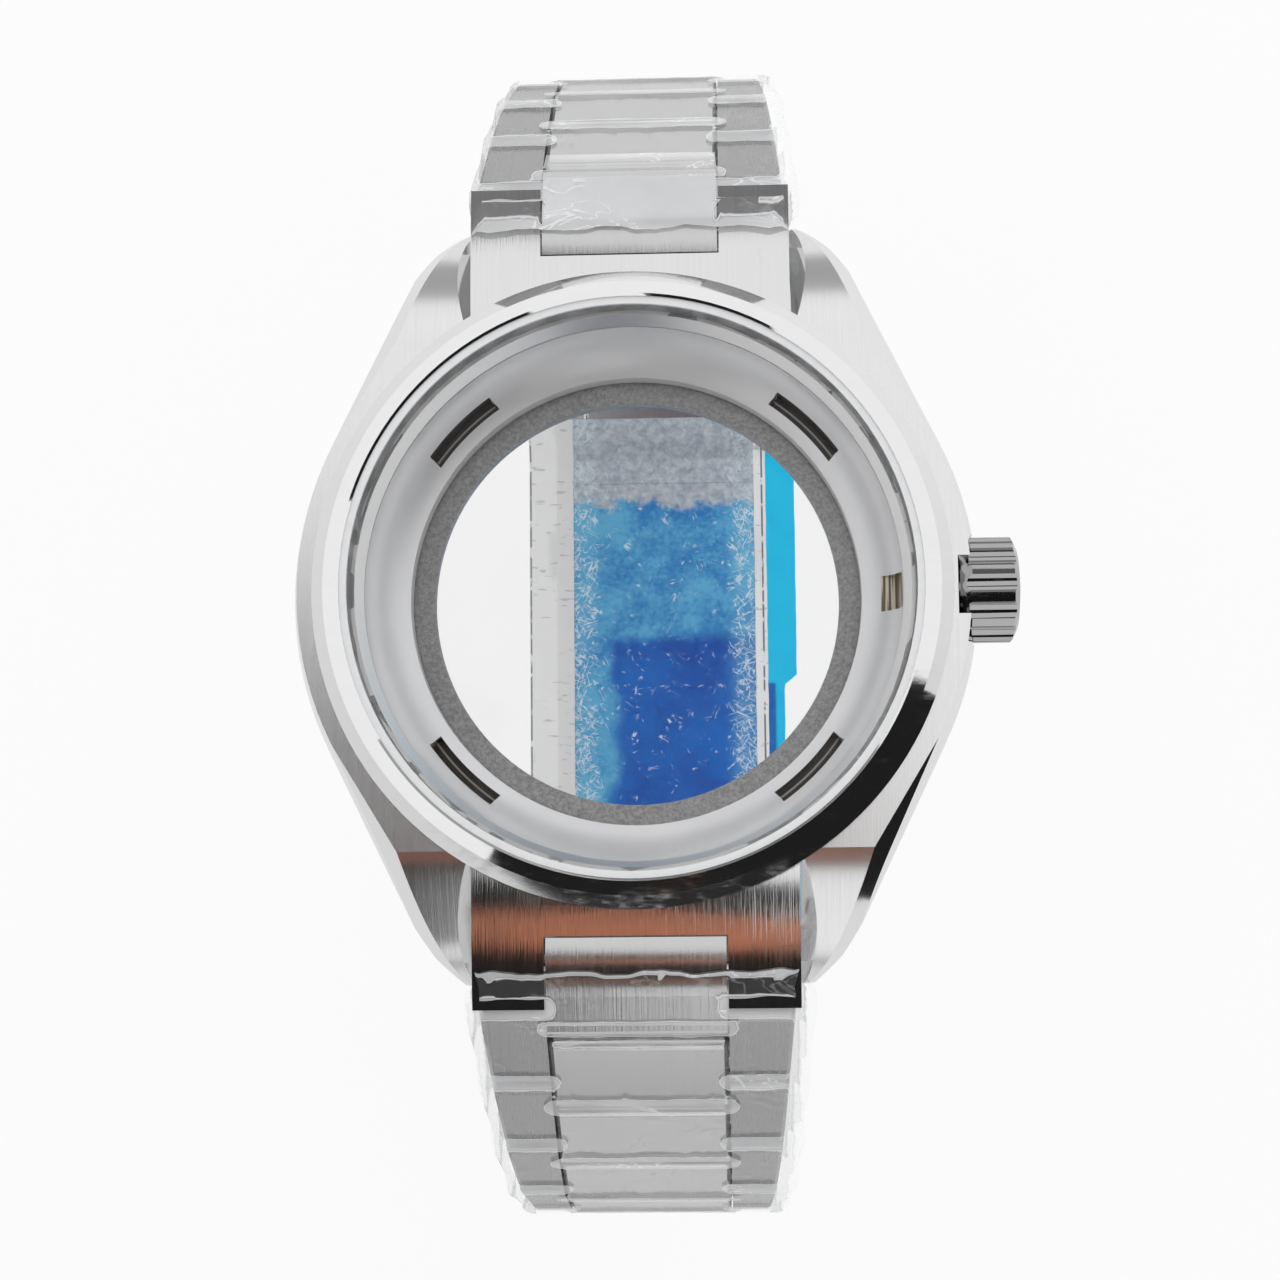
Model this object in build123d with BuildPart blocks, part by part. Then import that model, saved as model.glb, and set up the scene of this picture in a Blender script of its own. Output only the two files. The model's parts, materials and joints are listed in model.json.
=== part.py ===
from build123d import *
from math import cos, degrees, radians, sin, sqrt, tan
import os

# A steel watch case with see-through back, crown and a three-row link bracelet closed by a
# folding clasp. Millimetres. +Z points out through the crystal, +Y to 12 o'clock and +X to the
# crown. The origin is the middle of the bore that holds the movement.

# Watch case, in steps outward from the movement's bore
seat_radius = 14.35
seat_length = 1.4
holder_wall = 2.65
rehaut_step = 0.3
rehaut_slope = 0.4
rehaut_bottom = 4.9
neck_wall = 1.2
neck_top = 6.3
barrel_step = 1.0
flank_step = 2.2
case_top = 5.5
case_widest_z = 2.3
case_bottom = -1.9
flank_taper_top = 12
flank_taper_bottom = 8
lug_side_gap = 0.1
lug_reach = 5.4
lug_shoulder = 3.3
lug_root_step = 0.55
lug_line_angle = 26
lug_corner_y = 2.0
lug_end_width = 1.1
lug_tip_top_z = -1.2
lug_tip_bottom_z = -2.6
lug_bulge = 0.75
lug_bevel = 0.8
lug_tip_bevel = 1.3
lens_slope = 1.1
back_bore_step = 0.5
back_bore_depth = 1.2

# Bezel and crystal
bezel_overhang = 1.33
bezel_ridge_step = 0.5
bezel_wall = 0.5
bezel_top = 8.25
bezel_ridge_z = 7.95
bezel_edge_z = 7.0
bezel_lip = 0.15
gasket_wall = 0.45
crystal_thickness = 1.6
crystal_chamfer = 0.2
crystal_gasket_rise = 0.1

# Movement holder
holder_height = 5.3
bowl_rim = 0.3
bowl_hollow = 0.5
bowl_mid_rise = 1.45
slot_step = 1.15
slot_width = 0.8
slot_length = 5.3
slot_floor = 0.1
slot_count = 4
stem_window_height = 2.2
stem_window_width = 2.2

# Crown and its tube
stem_z = 2.5
crown_radius = 3.3
crown_seat_depth = 1.5
crown_seat_gap = 0.15
crown_seat_margin = 0.2
crown_length = 3.65
crown_skirt_radius = 2.7
crown_skirt_length = 0.7
crown_dome = 0.35
crown_cap_radius = 2.6
crown_flutes = 12
flute_radius = 0.75
flute_depth = 0.3
crown_bore_radius = 1.85
crown_bore_length = 2.4
hub_radius = 0.85
hub_reach = 1.2
stem_hole_radius = 0.45
stem_hole_depth = 3.0
tube_radius = 1.3
tube_bore_radius = 0.95
tube_reach = 1.7
crown_gasket_length = 0.8

# Case back
flange_top = -0.9
back_bottom = -3.4
back_rim_step = 1.1
back_crystal_step = 0.75
back_lip = 0.6
back_lip_thickness = 1.0
back_crystal_thickness = 1.2
back_gasket_wall = 0.45
back_chamfer = 0.5
gasket_step = 0.3
gasket_width = 0.4
gasket_height = 0.5
back_notches = 6
notch_width = 2.4
notch_depth = 0.8
notch_height = 0.7

# Bracelet
hinge_step = 6.1
hinge_z = 3.0
pitch = 6.4
link_thickness = 3.0
centre_share = 0.6875
end_width = 20.0
link_width_shares = (0.8, 0.625, 0.45, 0.275, 0.125, 0, 0, 0, 0)
end_tilt = 20
link_tilts = (45, 51, 61, 75, 92, 112, 133, 152, 168)
centre_knuckle_radius = 1.9
knuckle_gap = 0.15
row_gap = 0.1
side_lip = 1.1
last_side_cut = 1.8
link_pin_radius = 0.5
pin_inset = 0.1
fixed_pin_place = 3.6
link_edge_bevel = 0.25
centre_edge_round = 0.6

# End links
end_link_gap = 0.2
end_link_top = 5.2
end_link_bottom = -1.5
end_link_tuck = 4.3
end_heel_step = 2.9
end_heel_rise = 1.3
end_recess_step = 1.9
end_shelf_z = 2.4
end_pin_step = 4.0
end_centre_pin_z = 3.7
end_top_bulge = 0.3
prong_lip = 0.4
prong_rise = 0.3

# Spring bars
bar_step = 1.7
bar_z = 0.0
bar_radius = 0.9
bar_tip_radius = 0.45
bar_tip_length = 1.4
bar_shoulder = 0.4

# Clasp
clasp_width = 16.0
shell_wall = 0.8
shell_plate = 1.2
shell_wall_rise = 2.6
blade_side_gap = 0.2
blade_thickness = 1.0
blade_gap = 0.15
blade_top = 0.7
clasp_pin_radius = 0.45
clasp_ear_gap = 0.2
ear_radius = 1.5
blade_ear_radius = 1.4
fold_inset = 5.0
fold_knuckle_radius = 0.9
blade_hinge_radius = 1.05
blade_hinge_width = 6.8
shell_end_inset = 2.6
plate_end_gap = 0.3
button_step = 10.8
button_length = 4.0
button_height = 1.4
button_proud = 0.7
button_notch = 0.7
notch_gap = 0.2
film_thickness = 0.15
film_margin = 0.2
film_inset = 0.8
shell_edge_round = 0.4

# Clearances and one overrun for cuts
seat_gap = 0.05
pin_run_gap = 0.05
pin_seat_gap = 0.01
over = 1.0

# Radii stepped out from the movement's bore
holder_bore_radius = seat_radius + holder_wall
rehaut_radius = holder_bore_radius - rehaut_step
rehaut_top_radius = rehaut_radius + rehaut_slope
neck_radius = rehaut_top_radius + neck_wall
barrel_radius = neck_radius + barrel_step
case_radius = barrel_radius + flank_step
back_bore_radius = holder_bore_radius + back_bore_step
bezel_radius = neck_radius + bezel_overhang
bezel_ridge_radius = neck_radius + bezel_ridge_step
bezel_inner_radius = neck_radius - bezel_wall
crystal_radius = bezel_inner_radius - gasket_wall
bowl_top_radius = holder_bore_radius - bowl_rim
bowl_mid_radius = bowl_top_radius - bowl_hollow
slot_radius = seat_radius + slot_step
back_ring_radius = back_bore_radius + back_rim_step
back_crystal_radius = seat_radius - back_crystal_step
back_window_radius = back_crystal_radius - back_lip
back_crystal_bore = back_crystal_radius + back_gasket_wall
gasket_inner_radius = back_bore_radius + gasket_step
gasket_outer_radius = gasket_inner_radius + gasket_width

# Places stepped out from the case barrel
lug_tip_y = barrel_radius + lug_reach
lug_start_y = barrel_radius - lug_shoulder
lug_root_y = barrel_radius - lug_root_step
lug_gap = end_width + 2 * lug_side_gap
lug_end_x = lug_gap / 2 + lug_end_width
crown_seat_x = case_radius - crown_seat_depth
crown_seat_radius = crown_radius + crown_seat_margin
crown_inner_x = crown_seat_x + crown_seat_gap
end_link_radius = barrel_radius + end_link_gap
end_link_inner_y = barrel_radius - end_link_tuck
end_heel_y = barrel_radius + end_heel_step
end_recess_y = barrel_radius + end_recess_step
end_centre_pin_y = barrel_radius + end_pin_step
bar_y = barrel_radius + bar_step
hinge_y = barrel_radius + hinge_step
centre_width = clasp_width * centre_share
link_widths = tuple(clasp_width + (end_width - clasp_width) * share for share in link_width_shares)
blade_width = clasp_width - 2 * (shell_wall + blade_side_gap)
film_width = blade_width - 2 * film_margin

os.makedirs("parts", exist_ok=True)


def save(part, name):
    part.label = name
    export_step(part, "parts/" + name + ".step")


def ring(inner, outer, low, high):
    """A plain ring about the case axis."""
    with BuildPart() as made:
        with BuildSketch(Plane.XY.offset(low)):
            Circle(outer)
            Circle(inner, mode=Mode.SUBTRACT)
        extrude(amount=high - low)
    return made.part


# Case body
case_span = 2 * (case_radius + over)
lug_line_x = case_radius * cos(radians(lug_line_angle))
lug_line_y = case_radius * sin(radians(lug_line_angle))
lug_slant = sin(radians(lug_line_angle)) / cos(radians(lug_line_angle))
lug_corner_x = lug_line_x - (lug_tip_y - lug_corner_y - lug_line_y) * lug_slant


def case_outline():
    """Plan of the case: flank arcs, straight lug sides and slanted lug ends."""
    corner_y = lug_tip_y - lug_corner_y
    with BuildSketch() as outline:
        with BuildLine():
            ThreePointArc((lug_line_x, -lug_line_y), (case_radius, 0), (lug_line_x, lug_line_y))
            Polyline((lug_line_x, lug_line_y), (lug_corner_x, corner_y), (lug_end_x, lug_tip_y),
                     (-lug_end_x, lug_tip_y), (-lug_corner_x, corner_y),
                     (-lug_line_x, lug_line_y))
            ThreePointArc((-lug_line_x, lug_line_y), (-case_radius, 0),
                          (-lug_line_x, -lug_line_y))
            Polyline((-lug_line_x, -lug_line_y), (-lug_corner_x, -corner_y),
                     (-lug_end_x, -lug_tip_y), (lug_end_x, -lug_tip_y),
                     (lug_corner_x, -corner_y), (lug_line_x, -lug_line_y))
        make_face()
    return outline.sketch


def lug_profile():
    """Side view of the case: flat body with the lugs curving down at both ends."""
    mid_y = (lug_start_y + lug_tip_y) / 2 + lug_bulge
    mid_z = (case_top + lug_tip_top_z) / 2 + lug_bulge
    with BuildSketch() as profile:
        with BuildLine():
            Line((-lug_start_y, case_top), (lug_start_y, case_top))
            ThreePointArc((lug_start_y, case_top), (mid_y, mid_z), (lug_tip_y, lug_tip_top_z))
            Polyline((lug_tip_y, lug_tip_top_z), (lug_tip_y, lug_tip_bottom_z),
                     (barrel_radius, lug_tip_bottom_z), (lug_root_y, case_bottom),
                     (-lug_root_y, case_bottom), (-barrel_radius, lug_tip_bottom_z),
                     (-lug_tip_y, lug_tip_bottom_z), (-lug_tip_y, lug_tip_top_z))
            ThreePointArc((-lug_tip_y, lug_tip_top_z), (-mid_y, mid_z),
                          (-lug_start_y, case_top))
        make_face()
    return profile.sketch


def lug_edge_x(place_y, place_z):
    """Half width of the case at one place on the outer top edge of a lug."""
    taper = flank_taper_top if place_z > case_widest_z else flank_taper_bottom
    drawn_in = abs(place_z - case_widest_z) * tan(radians(taper)) / cos(radians(lug_line_angle))
    return lug_line_x - (place_y - lug_line_y) * lug_slant - drawn_in


def lug_outer_bevel():
    """Space above the bevel of one lug: its side view, run outward and down."""
    mid_y = (lug_start_y + lug_tip_y) / 2 + lug_bulge
    mid_z = (case_top + lug_tip_top_z) / 2 + lug_bulge
    first_z = case_top + lug_edge_x(lug_line_y, case_top)
    start_z = case_top + lug_edge_x(lug_start_y, case_top) - lug_bevel
    half_z = mid_z + lug_edge_x(mid_y, mid_z) - lug_bevel
    tip_z = lug_tip_top_z + lug_edge_x(lug_tip_y, lug_tip_top_z) - lug_tip_bevel
    above_z = 2 * case_span
    with BuildPart() as space:
        with BuildSketch(Plane.YZ):
            with BuildLine():
                Line((lug_line_y, first_z), (lug_start_y, start_z))
                ThreePointArc((lug_start_y, start_z), (mid_y, half_z), (lug_tip_y, tip_z))
                Polyline((lug_tip_y, tip_z), (lug_tip_y + over, tip_z - 2 * over),
                         (lug_tip_y + over, above_z), (lug_line_y, above_z),
                         (lug_line_y, first_z))
            make_face()
        extrude(amount=case_span * sqrt(2), dir=(1, 0, -1))
    return space.part


def lug_inner_bevel():
    """Space above a flat cut on the inner edge: on the curved lug it leaves a lens shape."""
    along = (0, lug_tip_y - lug_start_y, lug_tip_top_z - case_top)
    across = Plane(origin=(lug_gap / 2, lug_start_y, case_top), x_dir=(1, 0, 0), z_dir=along)
    reach = case_top - lug_tip_top_z + 2 * over
    with BuildPart() as space:
        with BuildSketch(across):
            with BuildLine():
                Polyline((-over, over * lens_slope), (reach, -reach * lens_slope),
                         (-over, -reach * lens_slope), close=True)
            make_face()
        extrude(amount=2 * reach)
    return space.part


def make_case_middle():
    outline = case_outline()
    profile = lug_profile()
    with BuildPart() as middle:
        with BuildSketch(Plane.XY.offset(case_widest_z)):
            add(outline)
        extrude(amount=case_top - case_widest_z, taper=flank_taper_top)
        with BuildSketch(Plane.XY.offset(case_widest_z)):
            add(outline)
        extrude(amount=lug_tip_bottom_z - case_widest_z, taper=flank_taper_bottom)
        with BuildSketch(Plane.YZ):
            add(profile)
        extrude(amount=case_span, both=True, mode=Mode.INTERSECT)
        # the gap between each pair of lugs
        with BuildSketch(Plane.XY.offset(lug_tip_bottom_z - over)):
            Rectangle(lug_gap, 2 * (lug_tip_y + over))
            Circle(barrel_radius, mode=Mode.SUBTRACT)
        extrude(amount=case_top - lug_tip_bottom_z + 2 * over, mode=Mode.SUBTRACT)
        # bevels along the outer and the inner top edges of the lugs
        for cutter in (lug_outer_bevel(), lug_inner_bevel()):
            for lug_cut in (cutter, cutter.mirror(Plane.XZ)):
                add(lug_cut, mode=Mode.SUBTRACT)
                add(lug_cut.mirror(Plane.YZ), mode=Mode.SUBTRACT)
        # neck that carries the bezel and the crystal
        with BuildSketch(Plane.XY.offset(case_top - over)):
            Circle(neck_radius)
        extrude(amount=neck_top - case_top + over)
        # the round inside, from the crystal ledge to the case-back thread
        with BuildSketch(Plane.XZ):
            with BuildLine():
                Polyline((0, neck_top), (rehaut_top_radius, neck_top),
                         (rehaut_radius, rehaut_bottom), (holder_bore_radius, rehaut_bottom),
                         (holder_bore_radius, case_bottom + back_bore_depth),
                         (back_bore_radius, case_bottom + back_bore_depth),
                         (back_bore_radius, lug_tip_bottom_z - over),
                         (0, lug_tip_bottom_z - over), close=True)
            make_face()
        revolve(axis=Axis.Z, mode=Mode.SUBTRACT)
        # crown tube hole
        with BuildSketch(Plane.YZ.offset(rehaut_radius - over)):
            with Locations((0, stem_z)):
                Circle(tube_radius)
        extrude(amount=case_radius - rehaut_radius + 2 * over, mode=Mode.SUBTRACT)
        # round seat for the crown
        with BuildSketch(Plane.YZ.offset(crown_seat_x)):
            with Locations((0, stem_z)):
                Circle(crown_seat_radius)
        extrude(amount=case_radius - crown_seat_x + over, mode=Mode.SUBTRACT)
        # spring-bar holes in the lugs
        for side in (1, -1):
            with BuildSketch(Plane.YZ):
                with Locations((side * bar_y, bar_z)):
                    Circle(bar_tip_radius + pin_run_gap)
            extrude(amount=lug_gap / 2 + bar_tip_length, both=True, mode=Mode.SUBTRACT)
    return middle.part


save(make_case_middle(), "case_middle")


# Bezel, crystal and gasket
def make_bezel():
    with BuildPart() as bezel:
        with BuildSketch(Plane.XZ):
            with BuildLine():
                Polyline((neck_radius + seat_gap, case_top), (bezel_radius, case_top),
                         (bezel_radius, bezel_edge_z), (bezel_ridge_radius, bezel_ridge_z),
                         (bezel_inner_radius + bezel_lip, bezel_top),
                         (bezel_inner_radius, bezel_top - bezel_lip),
                         (bezel_inner_radius, neck_top), (neck_radius + seat_gap, neck_top),
                         close=True)
            make_face()
        revolve(axis=Axis.Z)
    return bezel.part


def make_crystal():
    with BuildPart() as crystal:
        with BuildSketch(Plane.XY.offset(neck_top)):
            Circle(crystal_radius)
        extrude(amount=crystal_thickness)
        chamfer(crystal.edges().group_by(Axis.Z)[-1], length=crystal_chamfer)
    return crystal.part


save(make_bezel(), "bezel")
save(make_crystal(), "crystal")
gasket_top = neck_top + crystal_thickness + crystal_gasket_rise
save(ring(crystal_radius, bezel_inner_radius, neck_top, gasket_top), "crystal_gasket")


# Movement holder
holder_bottom = -seat_length / 2
holder_top = holder_bottom + holder_height
slot_angle = degrees(slot_length / slot_radius)


def make_holder():
    bowl_start = (seat_radius, seat_length / 2)
    bowl_end = (bowl_top_radius, holder_top)
    bowl_mid = (bowl_mid_radius, seat_length / 2 + bowl_mid_rise)
    outer = holder_bore_radius - seat_gap
    with BuildPart() as holder:
        with BuildSketch(Plane.XZ):
            with BuildLine():
                Polyline(bowl_end, (outer, holder_top), (outer, holder_bottom),
                         (seat_radius, holder_bottom), bowl_start)
                ThreePointArc(bowl_start, bowl_mid, bowl_end)
            make_face()
        revolve(axis=Axis.Z)
        # clamp slots
        for turn in range(slot_count):
            start = 360 / slot_count * (turn + 1 / 2) - slot_angle / 2
            with BuildSketch(Plane.XZ.rotated((0, 0, start))):
                with Locations((slot_radius, slot_floor + holder_height / 2)):
                    Rectangle(slot_width, holder_height)
            revolve(axis=Axis.Z, revolution_arc=slot_angle, mode=Mode.SUBTRACT)
        # window for the stem
        with BuildSketch(Plane.YZ.offset(seat_radius - over)):
            with Locations((0, stem_z)):
                Rectangle(stem_window_width, stem_window_height)
        extrude(amount=outer - seat_radius + 2 * over, mode=Mode.SUBTRACT)
    return holder.part


save(make_holder(), "movement_holder")


# Crown tube, crown and crown gasket
crown_outer_x = crown_inner_x + crown_length
tube_end_x = crown_inner_x + tube_reach
cup_floor_x = crown_inner_x + crown_bore_length


def make_crown_tube():
    with BuildPart() as tube:
        with BuildSketch(Plane.YZ.offset(holder_bore_radius)):
            with Locations((0, stem_z)):
                Circle(tube_radius)
                Circle(tube_bore_radius, mode=Mode.SUBTRACT)
        extrude(amount=tube_end_x - holder_bore_radius)
    return tube.part


def make_crown():
    axis = Axis((0, 0, stem_z), (1, 0, 0))
    hub_start = crown_inner_x - hub_reach
    skirt_x = crown_inner_x + crown_skirt_length
    with BuildPart() as crown:
        with BuildSketch(Plane.XZ):
            with BuildLine():
                Polyline((hub_start, stem_z), (hub_start, stem_z + hub_radius),
                         (cup_floor_x, stem_z + hub_radius),
                         (cup_floor_x, stem_z + crown_bore_radius),
                         (crown_inner_x, stem_z + crown_bore_radius),
                         (crown_inner_x, stem_z + crown_skirt_radius),
                         (skirt_x, stem_z + crown_radius),
                         (crown_outer_x - crown_dome, stem_z + crown_radius),
                         (crown_outer_x, stem_z + crown_cap_radius),
                         (crown_outer_x + crown_dome, stem_z), close=True)
            make_face()
        revolve(axis=axis)
        # flutes round the rim
        flute_centre = crown_radius + flute_radius - flute_depth
        with BuildSketch(Plane.YZ.offset(crown_inner_x - over)):
            with Locations((0, stem_z)):
                with PolarLocations(flute_centre, crown_flutes):
                    Circle(flute_radius)
        extrude(amount=crown_length + 2 * over, mode=Mode.SUBTRACT)
        # threaded hole for the stem
        with BuildSketch(Plane.YZ.offset(hub_start)):
            with Locations((0, stem_z)):
                Circle(stem_hole_radius)
        extrude(amount=stem_hole_depth, mode=Mode.SUBTRACT)
    return crown.part


def make_crown_gasket():
    with BuildPart() as gasket:
        with BuildSketch(Plane.YZ.offset(cup_floor_x - crown_gasket_length - seat_gap)):
            with Locations((0, stem_z)):
                Circle(crown_bore_radius - seat_gap)
                Circle(tube_radius + seat_gap, mode=Mode.SUBTRACT)
        extrude(amount=crown_gasket_length)
    return gasket.part


save(make_crown_tube(), "crown_tube")
save(make_crown(), "crown")
save(make_crown_gasket(), "crown_gasket")


# Case back
lip_bottom = flange_top - back_lip_thickness


def make_back_ring():
    neck = back_bore_radius - seat_gap
    with BuildPart() as back:
        with BuildSketch(Plane.XZ):
            with BuildLine():
                Polyline((back_window_radius, flange_top), (neck, flange_top),
                         (neck, case_bottom - seat_gap),
                         (gasket_inner_radius - seat_gap, case_bottom - seat_gap),
                         (gasket_inner_radius - seat_gap, case_bottom - gasket_height - seat_gap),
                         (gasket_outer_radius + seat_gap, case_bottom - gasket_height - seat_gap),
                         (gasket_outer_radius + seat_gap, case_bottom - seat_gap),
                         (back_ring_radius, case_bottom - seat_gap),
                         (back_ring_radius, back_bottom + back_chamfer),
                         (back_ring_radius - back_chamfer, back_bottom),
                         (back_crystal_bore, back_bottom), (back_crystal_bore, lip_bottom),
                         (back_window_radius, lip_bottom), close=True)
            make_face()
        revolve(axis=Axis.Z)
        with BuildSketch(Plane.XY.offset(back_bottom)):
            with PolarLocations(back_ring_radius, back_notches):
                Rectangle(2 * notch_depth, notch_width)
        extrude(amount=notch_height, mode=Mode.SUBTRACT)
    return back.part


def make_back_crystal():
    with BuildPart() as glass:
        with BuildSketch(Plane.XY.offset(flange_top - back_lip_thickness)):
            Circle(back_crystal_radius)
        extrude(amount=-back_crystal_thickness)
    return glass.part


save(make_back_ring(), "back_ring")
save(make_back_crystal(), "back_crystal")
save(ring(back_crystal_radius, back_crystal_bore, lip_bottom - back_crystal_thickness, lip_bottom),
     "back_crystal_gasket")
save(ring(gasket_inner_radius, gasket_outer_radius, case_bottom - gasket_height - seat_gap,
          case_bottom), "back_gasket")


# Bracelet geometry
half = link_thickness / 2


def hinge_points():
    """The hinge axes (y, z) down one side, from the end link to the clasp."""
    points = [(hinge_y, hinge_z)]
    for tilt in link_tilts:
        y, z = points[-1]
        points.append((y + pitch * cos(radians(tilt)), z - pitch * sin(radians(tilt))))
    return points


def link_plane(side, point, tilt):
    """Plane with x along the bracelet and y out of its outer face, at one hinge."""
    return Plane(origin=(0, side * point[0], point[1]),
                 x_dir=(0, side * cos(radians(tilt)), -sin(radians(tilt))),
                 z_dir=(side, 0, 0))


def on_plane(side, tilt, point, along, out):
    """The (y, z) of a place given along the bracelet and out of its outer face."""
    y = point[0] + along * cos(radians(tilt)) + out * sin(radians(tilt))
    z = point[1] - along * sin(radians(tilt)) + out * cos(radians(tilt))
    return (side * y, z)


hinges = hinge_points()
units = len(link_tilts)
clasp_y, clasp_z = hinges[-1]


def width_at(unit):
    """Bracelet width at a hinge: unit 0 is the end link."""
    widths = (end_width - 2 * row_gap,) + link_widths
    return widths[min(unit, units)]


def make_sides(side, unit):
    """The two side pieces of a link unit, with its hinge pin and its fixed pin."""
    last = unit == units
    tilt = link_tilts[unit - 1]
    plane = link_plane(side, hinges[unit - 1], tilt)
    wide = width_at(unit)
    narrow = width_at(unit + 1)
    inner = centre_width / 2 + row_gap
    back = last_side_cut if last else side_lip
    with BuildPart() as pair:
        with BuildSketch(plane):
            Circle(half)
            with Locations(((pitch - back) / 2, 0)):
                Rectangle(pitch - back, link_thickness)
            with Locations((pitch, 0)):
                Circle(half + knuckle_gap, mode=Mode.SUBTRACT)
        extrude(amount=wide, both=True)
        # plan: two strips that narrow towards the clasp
        flat = Plane(origin=plane.origin, x_dir=plane.x_dir, z_dir=plane.y_dir)
        with BuildSketch(flat):
            for hand in (1, -1):
                with BuildLine():
                    Polyline((-pitch, hand * inner), (pitch, hand * inner),
                             (pitch, hand * narrow / 2),
                             (-pitch, hand * (wide - narrow / 2)), close=True)
                make_face()
        extrude(amount=pitch, both=True, mode=Mode.INTERSECT)
        rims = pair.edges().filter_by(lambda edge: is_rim(edge, plane, inner))
        chamfer(rims, length=link_edge_bevel)
        with BuildSketch(plane):
            Circle(link_pin_radius + pin_seat_gap)
            with Locations((fixed_pin_place, 0)):
                Circle(link_pin_radius + pin_seat_gap)
        extrude(amount=wide, both=True, mode=Mode.SUBTRACT)
    pins = []
    for along in (0, fixed_pin_place):
        reach = wide - (wide - narrow) * along / pitch
        with BuildPart() as pin:
            with BuildSketch(plane):
                with Locations((along, 0)):
                    Circle(link_pin_radius)
            extrude(amount=reach / 2 - pin_inset, both=True)
        pins.append(pin.part.solid())
    return Compound(children=pair.part.solids() + pins)


def is_rim(edge, plane, inner):
    """True for the long edges of a piece's outer face, seen in its own plane."""
    start = plane.to_local_coords(edge.position_at(0))
    end = plane.to_local_coords(edge.position_at(1))
    level = min(start.Y, end.Y) > half - pin_seat_gap
    long = abs(end.X - start.X) > half
    return level and long and min(abs(start.Z), abs(end.Z)) > inner + row_gap


def make_centre(side, unit):
    """The centre piece of a link unit: hollow inner end, round outer knuckle."""
    tilt = link_tilts[unit - 1]
    plane = link_plane(side, hinges[unit - 1], tilt)
    with BuildPart() as centre:
        with BuildSketch(plane) as outline:
            with Locations((pitch, 0)):
                Circle(centre_knuckle_radius)
            with Locations((pitch / 2, 0)):
                Rectangle(pitch, 2 * centre_knuckle_radius)
            with Locations((pitch, 0)):
                Rectangle(4 * pitch, link_thickness, mode=Mode.INTERSECT)
            Circle(centre_knuckle_radius + knuckle_gap, mode=Mode.SUBTRACT)
            with Locations((-pitch / 2, 0)):
                Rectangle(pitch, pitch, mode=Mode.SUBTRACT)
            corners = outline.vertices().group_by(Axis.X)[0]
            fillet(corners, radius=centre_edge_round)
        extrude(amount=centre_width / 2, both=True)
        rims = centre.edges().filter_by(lambda edge: is_rim(edge, plane, 0))
        chamfer(rims, length=link_edge_bevel)
        with BuildSketch(plane):
            with Locations((fixed_pin_place, 0)):
                Circle(link_pin_radius + pin_seat_gap)
            with Locations((pitch, 0)):
                Circle(link_pin_radius + pin_run_gap)
        extrude(amount=centre_width, both=True, mode=Mode.SUBTRACT)
    if unit == units and side < 0:
        # the clasp's spring bar, with its tips drawn in
        with BuildPart() as bar:
            with BuildSketch(plane):
                with Locations((pitch, 0)):
                    Circle(link_pin_radius)
            extrude(amount=centre_width / 2 - pin_inset, both=True)
        return Compound(children=[centre.part.solid(), bar.part.solid()])
    return centre.part


side_names = {1: "12", -1: "6"}
for side in side_names:
    for unit in range(1, units + 1):
        tail = side_names[side] + "_" + str(unit)
        save(make_sides(side, unit), "sides_" + tail)
        save(make_centre(side, unit), "link_" + tail)


# End links
end_direction = radians(end_tilt)


def end_point(along, out):
    """A place near the first hinge, in the end link's own tilt."""
    return on_plane(1, end_tilt, hinges[0], along, out)


def end_top_line(start_y, lip):
    """Curved top of an end piece, from a place near the bezel to its outer lip."""
    middle = ((start_y + lip[0]) / 2, (end_link_top + lip[1]) / 2 + end_top_bulge)
    return (start_y, end_link_top), middle, lip


def make_end_link(side):
    lip_low = end_point(-side_lip, -half)
    start, middle, lip = end_top_line(end_link_inner_y, end_point(-prong_lip, half + prong_rise))
    plane = Plane(origin=(0, 0, 0), x_dir=(0, side, 0), z_dir=(side, 0, 0))
    with BuildPart() as end:
        with BuildSketch(plane):
            with BuildLine():
                ThreePointArc(start, middle, lip)
                Polyline(lip, lip_low, (end_heel_y + end_heel_rise / 2, end_link_bottom + end_heel_rise),
                         (end_heel_y, end_link_bottom), (end_link_inner_y, end_link_bottom), start)
            make_face()
            with Locations(hinges[0]):
                Circle(half + knuckle_gap, mode=Mode.SUBTRACT)
        extrude(amount=end_width / 2, both=True)
        with BuildSketch(Plane.XY.offset(end_link_bottom - over)):
            Circle(end_link_radius)
        extrude(amount=case_top - end_link_bottom + 2 * over, mode=Mode.SUBTRACT)
        # recess between the prongs
        far_y = hinge_y + pitch
        with BuildSketch(plane):
            with BuildLine():
                Polyline((end_recess_y, case_top + over), (end_recess_y, end_shelf_z),
                         (end_heel_y + row_gap, end_shelf_z),
                         (end_heel_y + row_gap, end_link_bottom - over),
                         (far_y, end_link_bottom - over), (far_y, case_top + over), close=True)
            make_face()
        extrude(amount=centre_width / 2 + row_gap, both=True, mode=Mode.SUBTRACT)
        with BuildSketch(plane):
            with Locations((bar_y, bar_z)):
                Circle(bar_radius + seat_gap)
            with Locations((end_centre_pin_y, end_centre_pin_z)):
                Circle(link_pin_radius + pin_seat_gap)
        extrude(amount=end_width, both=True, mode=Mode.SUBTRACT)
    with BuildPart() as pin:
        with BuildSketch(plane):
            with Locations((end_centre_pin_y, end_centre_pin_z)):
                Circle(link_pin_radius)
        extrude(amount=end_width / 2 - pin_inset, both=True)
    return Compound(children=end.part.solids() + [pin.part.solid()])


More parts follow.
